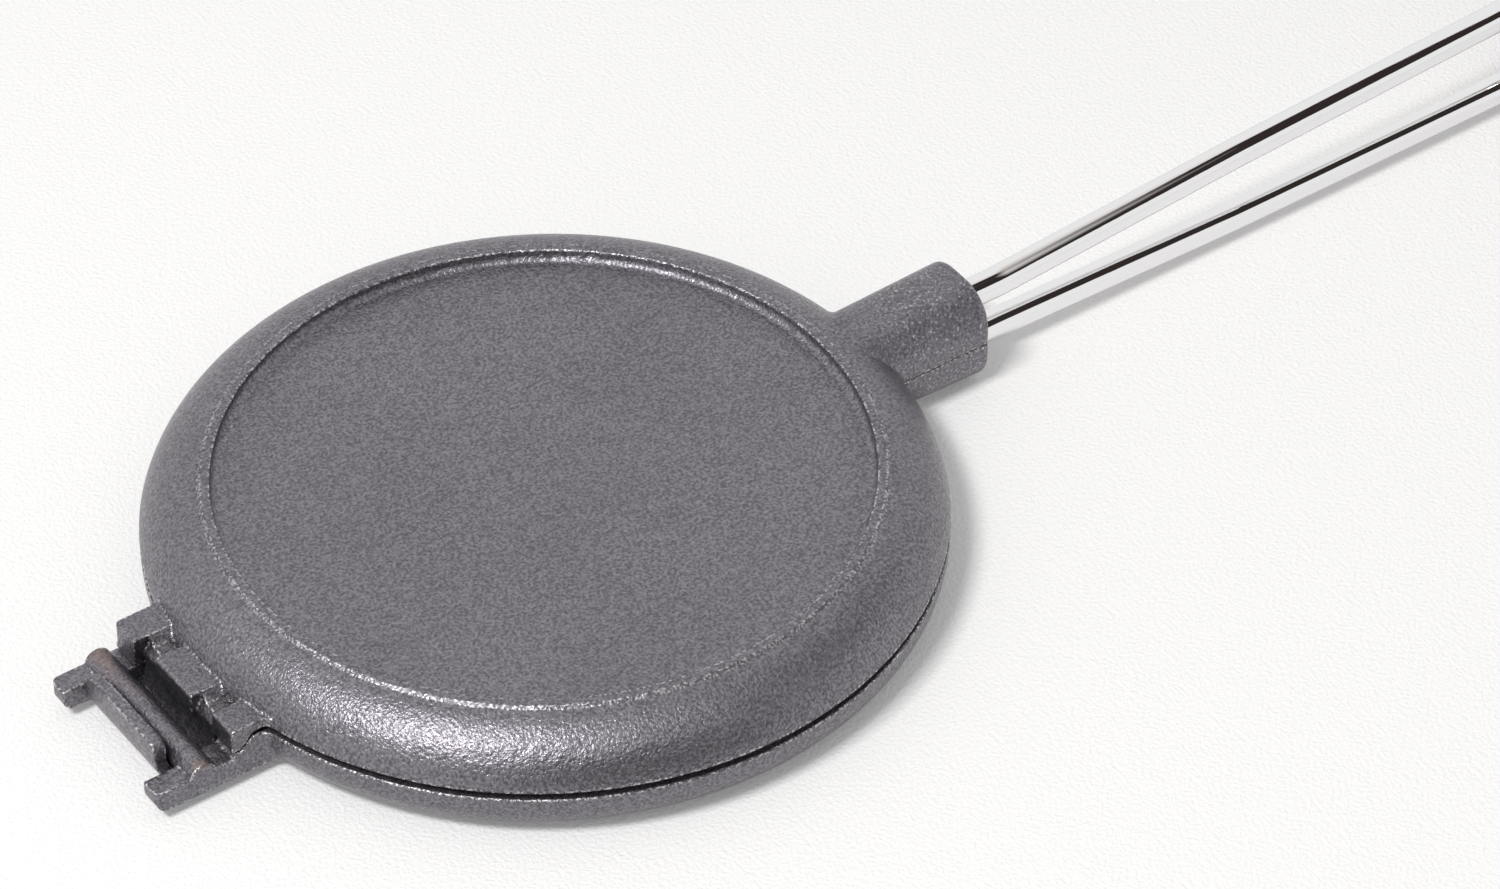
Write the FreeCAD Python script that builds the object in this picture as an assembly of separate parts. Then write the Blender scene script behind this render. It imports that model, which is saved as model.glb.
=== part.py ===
import FreeCAD
import Part
import math
import os
from FreeCAD import Vector

# Egg waffle pan: two round castings that hook together at one side and bake
# 31 egg shapes between them, each carried by its own steel rod handle.
# Millimetres. The origin is the centre of the disc on the table, X runs along
# the handles, Z points up. Shapes are first built about the parting plane,
# with the lower pan below zero, and raised by half_depth at the end.

# Disc of each casting
disc_radius = 100.0
half_depth = 14.9
rim_gap = 2.3
rim_gap_depth = 3.0
rim_gap_slope = 0.8
seat_clearance = 0.2
side_width = 15.1
upper_side_radius = 18.7
lower_side_radius = 10.8
land_width = 2.4
bead_step = 0.6
bead_width = 0.5
panel_recess = 3.0
panel_fillet = 2.0
land_outer_radius = disc_radius - side_width - bead_width
land_inner_radius = land_outer_radius - land_width

# Baking cells, a hexagonal field of spherical cups under a shallow web recess
cell_pitch = 27.5
cell_radius = 12.0
cell_floor = 3.3
web_recess = 1.0
seat_width = 8.2
web_to_cell = 2.0
web_radius = disc_radius - rim_gap_depth - rim_gap_slope - seat_width
cell_depth = half_depth - panel_recess - web_recess - cell_floor

# Split boss that holds the handle rods
boss_length = 27.0
web_to_boss = 0.5
boss_half_width = 12.7
boss_drop = 0.3
boss_draft = 1.4
boss_corner_radius = 10.0
boss_edge_round = 1.2
boss_gap = 0.3
boss_root_fillet = 3.0
boss_end = disc_radius + boss_length
boss_root = web_radius + web_to_boss
boss_half_height = half_depth - boss_drop

# Handle rods and the pins that lock them in the boss
rod_radius = 4.0
rod_height = 7.0
rod_offset = 1.0
rod_depth = 21.0
rod_end_clearance = 1.0
fit_clearance = 0.02
first_bend_from_boss = 10.4
first_bend_radius = 60.0
second_bend_run = 76.7
second_bend_radius = 120.0
upper_rise_angle = 4.05
upper_final_angle = 2.95
lower_fall_angle = 1.4
lower_final_angle = 0.2
pin_radius = 1.5
pin_bore_radius = 0.8
pin_slit = 0.7
pin_setback = 11.0
pin_bite = 1.3
pin_sink = 0.6
pin_hole_spare = 0.3

# Grips, measured along each rod from its second bend
grip_offset = 100.0
grip_length = 82.0
grip_half_width = 12.0
grip_half_height = 6.4
grip_waist_share = 0.92
grip_waist_place_share = 0.3
grip_belly_place_share = 0.68
grip_end_share = 0.92
grip_lip = 2.0
grip_lip_share = 0.8
grip_bore_clearance = 0.05
ferrule_length = 8.0
ferrule_radius = 6.1
ferrule_nose_radius = 5.2
ferrule_lip = 1.2
washer_radius = 5.6
washer_thickness = 1.2
stud_radius = 3.0
stud_length = 5.6
stud_chamfer = 0.6
nut_flats = 10.0
nut_height = 5.0
nut_dome_radius = 4.4
nut_dome_height = 3.6
nut_bore_spare = 0.5

# Hinge: the bar and arms of the lower pan
pivot_overhang = 14.5
pivot_drop = 6.35
bar_radius = 3.7
arm_half_width = 24.6
arm_bottom = 11.6
arm_top = 5.5
prong_reach = 13.2
prong_inner = 18.6
prong_round = 3.0
prong_corner = 2.0
slot_half_width = 16.6
slot_wall_clearance = 0.8
window_setback = 0.1
shoulder_front = 9.4
shoulder_rise_run = 1.2
shoulder_drop = 4.2
ramp_run = 3.3
ramp_to_rim = 0.6
ramp_round = 2.4
neck_overlap = 10.0
neck_top_drop = 0.9
neck_root_fillet = 3.0
pivot_x = -disc_radius - pivot_overhang
rim_ramp_end = pivot_overhang - ramp_to_rim
shoulder_back = rim_ramp_end - ramp_run
neck_root = pivot_overhang + neck_overlap

# Hinge: the hook and lugs of the upper pan
hook_half_width = 15.5
hook_thickness = 3.2
hook_mouth_radius = 6.6
hook_shift = 1.7
hook_tip_rise = 0.6
hook_tip_round = 2.4
shoulder_gap = 0.9
ramp_gap = 1.5
base_front = 8.3
base_drop = 1.6
base_slope_run = 1.7
lug_top = 3.2
lug_round = 1.0
lug_corner = 0.8
far_lug_front = 5.7
middle_lug_front = 6.9
near_lug_front = 8.1
groove_place = 12.0
groove_half_width = 4.0
groove_floor = 0.8
groove_floor_half_width = 1.7
nose_clearance = 0.6

overrun = 2.0

axis_x = Vector(1, 0, 0)
axis_y = Vector(0, 1, 0)
axis_z = Vector(0, 0, 1)


def at(x, y, z):
    return Vector(x, y, z)


def line(start, end):
    return Part.LineSegment(start, end).toShape()


def arc(centre, radius, start_angle, end_angle, across, up):
    # Arc in the plane of the unit vectors across and up, angles in degrees
    def spot(angle):
        turn = math.radians(angle)
        return centre + across * (radius * math.cos(turn)) + up * (radius * math.sin(turn))
    middle_angle = (start_angle + end_angle) / 2
    return Part.Arc(spot(start_angle), spot(middle_angle), spot(end_angle)).toShape()


def closed_face(edges):
    return Part.Face(Part.Wire(Part.sortEdges(edges)[0]))


def polygon_face(points):
    return Part.Face(Part.makePolygon(points + [points[0]]))


def block(x_range, y_range, z_range):
    x0, x1 = x_range
    y0, y1 = y_range
    z0, z1 = z_range
    return Part.makeBox(x1 - x0, y1 - y0, z1 - z0, at(x0, y0, z0))


def across_y(face, half_width):
    # Pushes a face that lies in the XZ plane out to both sides
    solid = face.extrude(axis_y * (2 * half_width))
    solid.translate(axis_y * -half_width)
    return solid


def upside_down(shape):
    # Both sides of the handles are alike, so a half turn about X makes the other half
    turned = shape.copy()
    turned.rotate(at(0, 0, 0), axis_x, 180)
    return turned


def side_arc(radius):
    # Round side of the lower half: its two ends and its centre, at y = 0. A large radius
    # runs from bead to rim, a small one is tangent to both and leaves a flat and a wall
    bead_z = -(half_depth - bead_step)
    start = at(max(land_outer_radius + bead_width, disc_radius - radius), 0, bead_z)
    end = at(disc_radius, 0, min(-rim_gap / 2, bead_z + radius))
    chord = end - start
    inward = at(-chord.z, 0, chord.x).normalize()
    centre = (start + end) * 0.5 + inward * math.sqrt(radius ** 2 - (chord.Length / 2) ** 2)
    return start, end, centre


def disc(side_radius):
    # Lower half of a disc: panel, land, bead, round side, rim and lip
    panel_z = -(half_depth - panel_recess)
    land_z = -half_depth
    rim_z = -rim_gap / 2
    lip_z = -seat_clearance / 2
    side_start, side_end, side_centre = side_arc(side_radius)
    start_angle = math.degrees(math.atan2(side_start.z - side_centre.z, side_start.x - side_centre.x))
    end_angle = math.degrees(math.atan2(side_end.z - side_centre.z, side_end.x - side_centre.x))
    fillet_centre = at(land_inner_radius - panel_fillet, 0, panel_z - panel_fillet)
    lip_outer = disc_radius - rim_gap_depth - rim_gap_slope
    path = [
        at(land_inner_radius, 0, panel_z - panel_fillet),
        at(land_inner_radius, 0, land_z),
        at(land_outer_radius, 0, land_z),
        at(land_outer_radius + bead_width, 0, side_start.z),
        side_start,
    ]
    back = [
        side_end,
        at(disc_radius, 0, rim_z),
        at(disc_radius - rim_gap_depth, 0, rim_z),
        at(lip_outer, 0, lip_z),
        at(web_radius, 0, lip_z),
        at(web_radius, 0, -web_recess),
        at(0, 0, -web_recess),
        at(0, 0, panel_z),
        at(land_inner_radius - panel_fillet, 0, panel_z),
    ]
    pairs = list(zip(path, path[1:])) + list(zip(back, back[1:]))
    edges = [line(a, b) for a, b in pairs if (b - a).Length > fit_clearance]
    edges.append(arc(side_centre, side_radius, start_angle, end_angle, axis_x, axis_z))
    edges.append(arc(fillet_centre, panel_fillet, 0, 90, axis_x, axis_z))
    solid = closed_face(edges).revolve(at(0, 0, 0), axis_z, 360)
    # The seam of the round faces is turned away from the boss and the hinge
    solid.rotate(at(0, 0, 0), axis_z, 90)
    return solid


def cell_places():
    # Hexagonal lattice of every cup that fits inside the sunken web
    limit = web_radius - web_to_cell - cell_radius
    row_pitch = cell_pitch * math.sqrt(3) / 2
    reach = math.ceil(limit / row_pitch)
    places = []
    for j in range(-reach, reach + 1):
        for i in range(-2 * reach, 2 * reach + 1):
            x = cell_pitch * (i + j / 2)
            y = row_pitch * j
            if math.hypot(x, y) <= limit:
                places.append((x, y))
    return places


def cut_cells(casting):
    ball_radius = (cell_radius ** 2 + cell_depth ** 2) / (2 * cell_depth)
    ball_z = -web_recess - cell_depth + ball_radius
    balls = [Part.makeSphere(ball_radius, at(x, y, ball_z)) for x, y in cell_places()]
    return casting.cut(Part.makeCompound(balls))


def boss_section(x, height):
    side_z = -(height - boss_corner_radius)
    flat_y = boss_half_width - boss_corner_radius
    edges = [
        line(at(x, -boss_half_width, overrun), at(x, boss_half_width, overrun)),
        line(at(x, boss_half_width, overrun), at(x, boss_half_width, side_z)),
        arc(at(x, flat_y, side_z), boss_corner_radius, 0, -90, axis_y, axis_z),
        line(at(x, flat_y, -height), at(x, -flat_y, -height)),
        arc(at(x, -flat_y, side_z), boss_corner_radius, -90, -180, axis_y, axis_z),
        line(at(x, -boss_half_width, side_z), at(x, -boss_half_width, overrun)),
    ]
    return Part.Wire(Part.sortEdges(edges)[0])


def boss():
    # Half of the handle boss: a rounded block with a little draft, split along the parting plane
    ends = [boss_section(boss_root, boss_half_height - boss_draft), boss_section(boss_end, boss_half_height)]
    solid = Part.makeLoft(ends, True, True)
    wide = boss_half_width + overrun
    top_z = -boss_gap / 2
    solid = solid.common(block((boss_root, boss_end), (-wide, wide), (-boss_half_height - overrun, top_z)))
    end_edges = [
        edge for edge in solid.Edges
        if edge.BoundBox.XMin > boss_end - fit_clearance and edge.BoundBox.ZMin < top_z - fit_clearance
    ]
    return solid.makeFillet(boss_edge_round, end_edges)


def boss_holes(bore_y):
    bore_radius = rod_radius + fit_clearance
    bore_start = boss_end - rod_depth - rod_end_clearance
    bore_length = rod_depth + rod_end_clearance + overrun
    bore = Part.makeCylinder(bore_radius, bore_length, at(bore_start, bore_y, -rod_height), axis_x)
    hole_depth = rod_height + rod_radius + pin_bite + pin_hole_spare
    pin_x = boss_end - pin_setback
    hole = Part.makeCylinder(pin_radius + fit_clearance, hole_depth, at(pin_x, bore_y, 0), -axis_z)
    return bore.fuse(hole)


def on_side(edge, side_radius):
    # True for an edge whose middle lies on the disc's round side, or on its rim's wall
    point = edge.valueAt((edge.FirstParameter + edge.LastParameter) / 2)
    start, end, centre = side_arc(side_radius)
    out = math.hypot(point.x, point.y)
    height = -abs(point.z)
    on_arc = abs(math.hypot(out - centre.x, height - centre.z) - side_radius) < fit_clearance
    on_wall = abs(out - disc_radius) < fit_clearance and height > end.z
    below_rim = height < -rim_gap / 2 - fit_clearance
    return below_rim and out > start.x and (on_arc or on_wall)


def plain_casting(side_radius, bore_y):
    # What both castings share: the disc with its cells and the drilled boss
    body = disc(side_radius).fuse(boss()).removeSplitter()
    wide = boss_half_width + fit_clearance
    root_edges = [
        edge for edge in body.Edges
        if on_side(edge, side_radius) and edge.BoundBox.XMin > boss_root
        and edge.BoundBox.YMax < wide and edge.BoundBox.YMin > -wide
    ]
    body = body.makeFillet(boss_root_fillet, root_edges)
    return cut_cells(body).cut(boss_holes(bore_y))


def round_neck_root(casting, side_radius):
    # Blends the two sides of the hinge's neck into the disc
    corners = [
        edge for edge in casting.Edges
        if on_side(edge, side_radius) and edge.BoundBox.XMax < 0
        and edge.BoundBox.YLength < fit_clearance
        and abs(abs(edge.BoundBox.YMax) - arm_half_width) < fit_clearance
    ]
    return casting.makeFillet(neck_root_fillet, corners)


def neck_plan(front_x, corner_radius, z0, z1):
    # Straight-sided neck with rounded corners in front
    root_x = pivot_x + neck_root
    flat_y = arm_half_width - corner_radius
    round_x = front_x + corner_radius
    edges = [
        line(at(front_x, -flat_y, z0), at(front_x, flat_y, z0)),
        line(at(root_x, -arm_half_width, z0), at(root_x, arm_half_width, z0)),
    ]
    for side in (1, -1):
        edges.append(arc(at(round_x, side * flat_y, z0), corner_radius, 90, 180, axis_x, axis_y * side))
        edges.append(line(at(round_x, side * arm_half_width, z0), at(root_x, side * arm_half_width, z0)))
    return closed_face(edges).extrude(axis_z * (z1 - z0))


def round_ramp(solid, foot_z, crest_z):
    # Rounds the foot and the crest of the ramp in the parting line beside the hinge
    spots = ((pivot_x + shoulder_back, foot_z), (pivot_x + rim_ramp_end, crest_z))
    ramp_edges = [
        edge for edge in solid.Edges
        for x, z in spots
        if abs(edge.BoundBox.Center.x - x) < fit_clearance and abs(edge.BoundBox.Center.z - z) < fit_clearance
        and edge.BoundBox.YLength > arm_half_width
    ]
    return solid.makeFillet(ramp_round, ramp_edges)


def lower_hinge():
    # Two arms with outward prongs, joined by the bar that the hook holds
    tip_x = pivot_x - prong_reach
    root_x = pivot_x + neck_root
    bottom_z = -arm_bottom
    shoulder_x = pivot_x + shoulder_front
    outline = [
        at(tip_x, 0, bottom_z + prong_round),
        at(tip_x, 0, -arm_top),
        at(shoulder_x - shoulder_rise_run, 0, -arm_top),
        at(shoulder_x, 0, -shoulder_drop),
        at(pivot_x + shoulder_back, 0, -shoulder_drop),
        at(pivot_x + rim_ramp_end, 0, -neck_top_drop),
        at(root_x, 0, -neck_top_drop),
        at(root_x, 0, bottom_z),
        at(tip_x + prong_round, 0, bottom_z),
    ]
    edges = [line(a, b) for a, b in zip(outline, outline[1:])]
    edges.append(arc(at(tip_x + prong_round, 0, bottom_z + prong_round), prong_round, 180, 270,
                     axis_x, axis_z))
    side_view = across_y(closed_face(edges), arm_half_width + overrun)
    side_view = round_ramp(side_view, -shoulder_drop, -neck_top_drop)
    frame = side_view.common(neck_plan(tip_x, prong_corner, bottom_z, 0))

    slot_end = pivot_x + hook_reach() + slot_wall_clearance
    depth = (bottom_z - overrun, 0)
    slot = block((tip_x - overrun, slot_end), (-slot_half_width, slot_half_width), depth)
    window_end = pivot_x - bar_radius - window_setback
    window = block((tip_x - overrun, window_end), (-prong_inner, prong_inner), depth)
    bar = Part.makeCylinder(bar_radius, 2 * arm_half_width,
                            at(pivot_x, -arm_half_width, -pivot_drop), axis_y)
    return frame.cut(slot).cut(window).fuse(bar)


def hook_reach():
    # Farthest that any part of the hook under the bar lies from the pivot
    outer = hook_mouth_radius + hook_thickness
    return math.hypot(hook_shift + outer, hook_shift)


def hook():
    # J-shaped hook: down from the lug block, under the bar and up again outside
    centre = at(pivot_x + hook_shift, 0, -pivot_drop + hook_shift)
    inner = hook_mouth_radius
    outer = hook_mouth_radius + hook_thickness
    top_z = -base_drop
    tip_z = hook_tip_rise
    path = [
        at(centre.x + outer, 0, centre.z),
        at(centre.x + outer, 0, top_z),
        at(centre.x + inner, 0, top_z),
        at(centre.x + inner, 0, centre.z),
    ]
    tip = [
        at(centre.x - inner, 0, centre.z),
        at(centre.x - inner, 0, tip_z),
        at(centre.x - outer, 0, tip_z),
        at(centre.x - outer, 0, centre.z),
    ]
    edges = [line(a, b) for a, b in zip(path, path[1:])]
    edges += [line(a, b) for a, b in zip(tip, tip[1:])]
    edges.append(arc(centre, inner, 180, 360, axis_x, axis_z))
    edges.append(arc(centre, outer, 180, 360, axis_x, axis_z))
    solid = across_y(closed_face(edges), hook_half_width)
    corners = [
        edge for edge in solid.Edges
        if edge.BoundBox.XMax < pivot_x and edge.BoundBox.ZMin > tip_z - fit_clearance
        and edge.BoundBox.YLength < fit_clearance
    ]
    return solid.makeFillet(hook_tip_round, corners)


def lug(front, y_range, bottom_z):
    # One lug from the base's underside up, with a rounded top edge in front
    front_x = pivot_x + front
    root_x = pivot_x + neck_root
    y0, y1 = y_range
    outline = [
        at(front_x, y0, lug_top - lug_round),
        at(front_x, y0, bottom_z),
        at(root_x, y0, bottom_z),
        at(root_x, y0, lug_top),
        at(front_x + lug_round, y0, lug_top),
    ]
    edges = [line(a, b) for a, b in zip(outline, outline[1:])]
    edges.append(arc(at(front_x + lug_round, y0, lug_top - lug_round), lug_round, 90, 180, axis_x, axis_z))
    return closed_face(edges).extrude(axis_y * (y1 - y0))


def grooves():
    # The two flared grooves that part the lugs, open towards the bar
    start_x = pivot_x + far_lug_front
    length = neck_root - far_lug_front
    flare = (groove_half_width - groove_floor_half_width) / (lug_top - groove_floor)
    mouth = groove_half_width + flare * overrun
    top_z = lug_top + overrun
    shapes = []
    for middle in (groove_place, -groove_place):
        outline = [
            at(start_x, middle - groove_floor_half_width, groove_floor),
            at(start_x, middle + groove_floor_half_width, groove_floor),
            at(start_x, middle + mouth, top_z),
            at(start_x, middle - mouth, top_z),
        ]
        shapes.append(polygon_face(outline).extrude(axis_x * (length + overrun)))
    return shapes


def upper_hinge():
    # Lug block: a base over the lower neck, three lugs on it and the hook
    root_x = pivot_x + neck_root
    base_x = pivot_x + base_front
    floor_x = base_x + base_slope_run
    lugs_x = pivot_x + far_lug_front
    wide = arm_half_width + overrun
    bottom_z = -shoulder_drop + shoulder_gap
    ramp_z = -neck_top_drop + ramp_gap
    outline = [
        at(lugs_x, 0, bottom_z),
        at(pivot_x + shoulder_back, 0, bottom_z),
        at(pivot_x + rim_ramp_end, 0, ramp_z),
        at(root_x, 0, ramp_z),
        at(root_x, 0, lug_top),
        at(lugs_x, 0, lug_top),
    ]
    room = round_ramp(across_y(polygon_face(outline), wide), bottom_z, ramp_z)
    room = room.common(neck_plan(lugs_x, lug_corner, bottom_z, lug_top))
    base_outline = [
        at(base_x, 0, bottom_z),
        at(base_x, 0, -base_drop),
        at(floor_x, 0, groove_floor),
        at(floor_x, 0, lug_top),
        at(root_x, 0, lug_top),
        at(root_x, 0, bottom_z),
    ]
    base = across_y(polygon_face(base_outline), wide).cut(grooves())
    inner = groove_place - groove_half_width
    outer = groove_place + groove_half_width
    far = lug(far_lug_front, (outer, wide), bottom_z)
    middle = lug(middle_lug_front, (-inner, inner), bottom_z)
    near = lug(near_lug_front, (-wide, -outer), bottom_z)
    block_with_lugs = base.fuse([far, middle, near]).common(room)
    nose_end = pivot_x + shoulder_front - shoulder_rise_run - nose_clearance
    nose_bottom = -arm_top + nose_clearance
    nose = block((lugs_x, nose_end), (outer, arm_half_width), (nose_bottom, bottom_z))
    return block_with_lugs.fuse([nose, hook()])


def rod_points(bends):
    # Corner points of a rod's centre line, from its blind end to the stud
    start = at(boss_end - rod_depth, 0, 0)
    first = at(boss_end + first_bend_from_boss, 0, 0)
    rise_1, rise_2 = bends
    second = first + at(second_bend_run, 0, second_bend_run * math.tan(math.radians(rise_1)))
    ahead = at(math.cos(math.radians(rise_2)), 0, math.sin(math.radians(rise_2)))
    reach = grip_offset + ferrule_length + grip_length
    return start, first, second, second + ahead * reach, ahead


def rod(bends):
    # Bent in two gentle corners, threaded at the far end and drilled for its pin
    start, first, second, end, ahead = rod_points(bends)
    corners = ((start, first, second, first_bend_radius), (first, second, end, second_bend_radius))
    edges = []
    last = start
    for before, corner, after, radius in corners:
        back = (before - corner).normalize()
        onward = (after - corner).normalize()
        half_turn = (math.pi - back.getAngle(onward)) / 2
        reach = radius * math.tan(half_turn)
        into = corner + back * reach
        out = corner + onward * reach
        bisector = (back + onward).normalize()
        middle = corner + bisector * (radius / math.cos(half_turn) - radius)
        edges.append(line(last, into))
        edges.append(Part.Arc(into, middle, out).toShape())
        last = out
    edges.append(line(last, end))
    section = Part.Wire(Part.makeCircle(rod_radius, start, axis_x))
    shaft = Part.Wire(edges).makePipeShell([section], True, False)
    stud = Part.makeCylinder(stud_radius, stud_length, end, ahead)
    tip_radius = stud_radius - stud_chamfer
    chamfer = Part.makeCone(stud_radius, tip_radius, stud_chamfer, end + ahead * stud_length, ahead)
    pin_x = boss_end - pin_setback
    hole = Part.makeCylinder(pin_radius + fit_clearance, 4 * rod_radius,
                             at(pin_x, 0, -2 * rod_radius), axis_z)
    return shaft.fuse([stud, chamfer]).removeSplitter().cut(hole)


def pin(bore_y):
    # Slotted spring pin, driven in from the parting face
    length = rod_height + rod_radius + pin_bite - pin_sink
    place = at(boss_end - pin_setback, bore_y, -pin_sink)
    tube = Part.makeCylinder(pin_radius, length, place, -axis_z)
    tube = tube.cut(Part.makeCylinder(pin_bore_radius, length, place, -axis_z))
    slit = block((place.x, place.x + 2 * pin_radius), (bore_y - pin_slit / 2, bore_y + pin_slit / 2),
                 (-length - pin_sink - overrun, 0))
    return tube.cut(slit)


def oval(x, share):
    side = at(x, grip_half_width * share, 0)
    top = at(x, 0, grip_half_height * share)
    return Part.Wire([Part.Ellipse(side, top, at(x, 0, 0)).toShape()])


def grip():
    # Moulded oval grip with a waist for the fingers and a belly behind it
    start = ferrule_length
    end = ferrule_length + grip_length
    front = [oval(start, grip_lip_share), oval(start + grip_lip, grip_end_share)]
    middle = [
        oval(start + grip_lip, grip_end_share),
        oval(start + grip_length * grip_waist_place_share, grip_waist_share),
        oval(start + grip_length * grip_belly_place_share, 1),
        oval(end - grip_lip, grip_end_share),
    ]
    rear = [oval(end - grip_lip, grip_end_share), oval(end, grip_lip_share)]
    body = Part.makeLoft(middle, True, False)
    body = body.fuse([Part.makeLoft(front, True, True), Part.makeLoft(rear, True, True)])
    bore = Part.makeCylinder(rod_radius + grip_bore_clearance, grip_length + 2 * overrun,
                             at(start - overrun, 0, 0), axis_x)
    return body.cut(bore)


def ferrule():
    points = [
        at(0, 0, rod_radius + fit_clearance),
        at(0, 0, ferrule_nose_radius),
        at(ferrule_length - ferrule_lip, 0, ferrule_radius - ferrule_lip / 2),
        at(ferrule_length - ferrule_lip, 0, ferrule_radius),
        at(ferrule_length, 0, ferrule_radius),
        at(ferrule_length, 0, rod_radius + fit_clearance),
    ]
    return polygon_face(points).revolve(at(0, 0, 0), axis_x, 360)


def washer():
    place = at(ferrule_length + grip_length, 0, 0)
    ring = Part.makeCylinder(washer_radius, washer_thickness, place, axis_x)
    return ring.cut(Part.makeCylinder(stud_radius + fit_clearance, washer_thickness, place, axis_x))


def cap_nut():
    base_x = ferrule_length + grip_length + washer_thickness
    corner = nut_flats / 2 / math.cos(math.radians(30))
    points = []
    for index in range(6):
        turn = math.radians(60 * index)
        points.append(at(base_x, corner * math.cos(turn), corner * math.sin(turn)))
    hexagon = polygon_face(points).extrude(axis_x * nut_height)
    top_x = base_x + nut_height
    ball_radius = (nut_dome_radius ** 2 + nut_dome_height ** 2) / (2 * nut_dome_height)
    ball_centre = at(top_x + nut_dome_height - ball_radius, 0, 0)
    rim_angle = math.degrees(math.asin(nut_dome_radius / ball_radius))
    outline = [
        arc(ball_centre, ball_radius, rim_angle, 0, axis_x, axis_z),
        line(at(top_x + nut_dome_height, 0, 0), at(base_x, 0, 0)),
        line(at(base_x, 0, 0), at(base_x, 0, nut_dome_radius)),
        line(at(base_x, 0, nut_dome_radius), at(top_x, 0, nut_dome_radius)),
    ]
    dome = closed_face(outline).revolve(at(0, 0, 0), axis_x, 360)
    bore = Part.makeCylinder(stud_radius + fit_clearance,
                             stud_length - washer_thickness + stud_chamfer + nut_bore_spare,
                             at(base_x, 0, 0), axis_x)
    return hexagon.fuse(dome).cut(bore)


def onto_rod(shape, bends):
    # Moves a piece built along X at the origin to the grip's place on a rod
    start, first, second, end, ahead = rod_points(bends)
    placed = shape.copy()
    placed.rotate(at(0, 0, 0), axis_y, -bends[1])
    placed.translate(second + ahead * grip_offset)
    return placed


def handle(bends):
    pieces = {"handle_rod": rod(bends), "grip": onto_rod(grip(), bends)}
    pieces["ferrule"] = onto_rod(ferrule(), bends)
    pieces["grip_washer"] = onto_rod(washer(), bends)
    pieces["cap_nut"] = onto_rod(cap_nut(), bends)
    return pieces


def build():
    upper = upside_down(plain_casting(upper_side_radius, rod_offset)).fuse(upper_hinge()).removeSplitter()
    lower = plain_casting(lower_side_radius, -rod_offset).fuse(lower_hinge()).removeSplitter()
    upper = round_neck_root(upper, upper_side_radius)
    lower = round_neck_root(lower, lower_side_radius)
    parts = {"lower_pan": lower, "upper_pan": upper}
    parts["lower_socket_pin"] = pin(-rod_offset)
    parts["upper_socket_pin"] = upside_down(pin(rod_offset))
    sides = (
        ("lower", (-lower_fall_angle, lower_final_angle), -rod_height),
        ("upper", (upper_rise_angle, upper_final_angle), rod_height),
    )
    for side, bends, height in sides:
        for name, piece in handle(bends).items():
            piece.translate(at(0, -rod_offset, height))
            parts[side + "_" + name] = piece
    return parts


os.makedirs("parts", exist_ok=True)
for name, shape in build().items():
    shape.translate(axis_z * half_depth)
    shape.exportStep("parts/" + name + ".step")
    print(name, len(shape.Solids), shape.isValid(), round(shape.Volume, 1), shape.BoundBox)
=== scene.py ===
import math

import bpy
from mathutils import Matrix, Vector


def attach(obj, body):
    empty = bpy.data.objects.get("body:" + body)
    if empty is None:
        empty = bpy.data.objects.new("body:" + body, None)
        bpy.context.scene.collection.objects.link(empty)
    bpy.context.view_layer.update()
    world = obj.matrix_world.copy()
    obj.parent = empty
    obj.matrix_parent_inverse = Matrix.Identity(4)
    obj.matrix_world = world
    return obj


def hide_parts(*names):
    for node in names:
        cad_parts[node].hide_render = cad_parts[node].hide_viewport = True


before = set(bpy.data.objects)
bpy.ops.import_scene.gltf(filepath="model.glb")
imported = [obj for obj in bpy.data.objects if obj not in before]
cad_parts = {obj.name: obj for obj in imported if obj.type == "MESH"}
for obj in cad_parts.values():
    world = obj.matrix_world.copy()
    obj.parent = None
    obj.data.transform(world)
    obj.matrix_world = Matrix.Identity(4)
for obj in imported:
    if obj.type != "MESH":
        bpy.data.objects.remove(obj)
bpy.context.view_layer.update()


# Camera: a long lens that looks down on the pan from its hinge end. Its place was fitted to the
# ellipses of the rim and of the land ring, and it looks at a point just above the parting plane.
camera_turn = math.radians(-34.85)
camera_height = math.radians(41.93)
camera_roll = math.radians(-0.43)
camera_distance = 1.7431
camera_aim = Vector((0.05484, -0.00978, 0.01565))
lens_mm = 168.0
film_mm = 36.0

back = Vector((
    math.sin(camera_turn) * math.cos(camera_height),
    -math.cos(camera_turn) * math.cos(camera_height),
    math.sin(camera_height),
))
level_right = Vector((math.cos(camera_turn), math.sin(camera_turn), 0))
level_up = back.cross(level_right)
right = level_right * math.cos(camera_roll) + level_up * math.sin(camera_roll)
up = level_up * math.cos(camera_roll) - level_right * math.sin(camera_roll)

lens = bpy.data.cameras.new("camera")
lens.lens = lens_mm
lens.sensor_width = film_mm
camera = bpy.data.objects.new("camera", lens)
camera_axes = Matrix((right, up, back)).transposed().to_4x4()
camera.matrix_world = Matrix.Translation(camera_aim + back * camera_distance) @ camera_axes
bpy.context.scene.collection.objects.link(camera)
bpy.context.scene.camera = camera
bpy.context.scene.view_settings.view_transform = "Standard"


# The two castings: sand-cast aluminium under a dark stove coating, baked on. The coating is thin
# and shines as metal does, so the flats look matt and speckled, and the round side glitters where
# it faces the light. The hinge's front wall and its grooves are darkened with painted shade.
milli = 0.001


def linear(code):
    """A colour for a shader, from its sRGB hex code."""
    parts = [int(code[i:i + 2], 16) / 255 for i in (1, 3, 5)]
    return [p / 12.92 if p <= 0.04045 else ((p + 0.055) / 1.055) ** 2.4 for p in parts] + [1.0]


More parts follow.
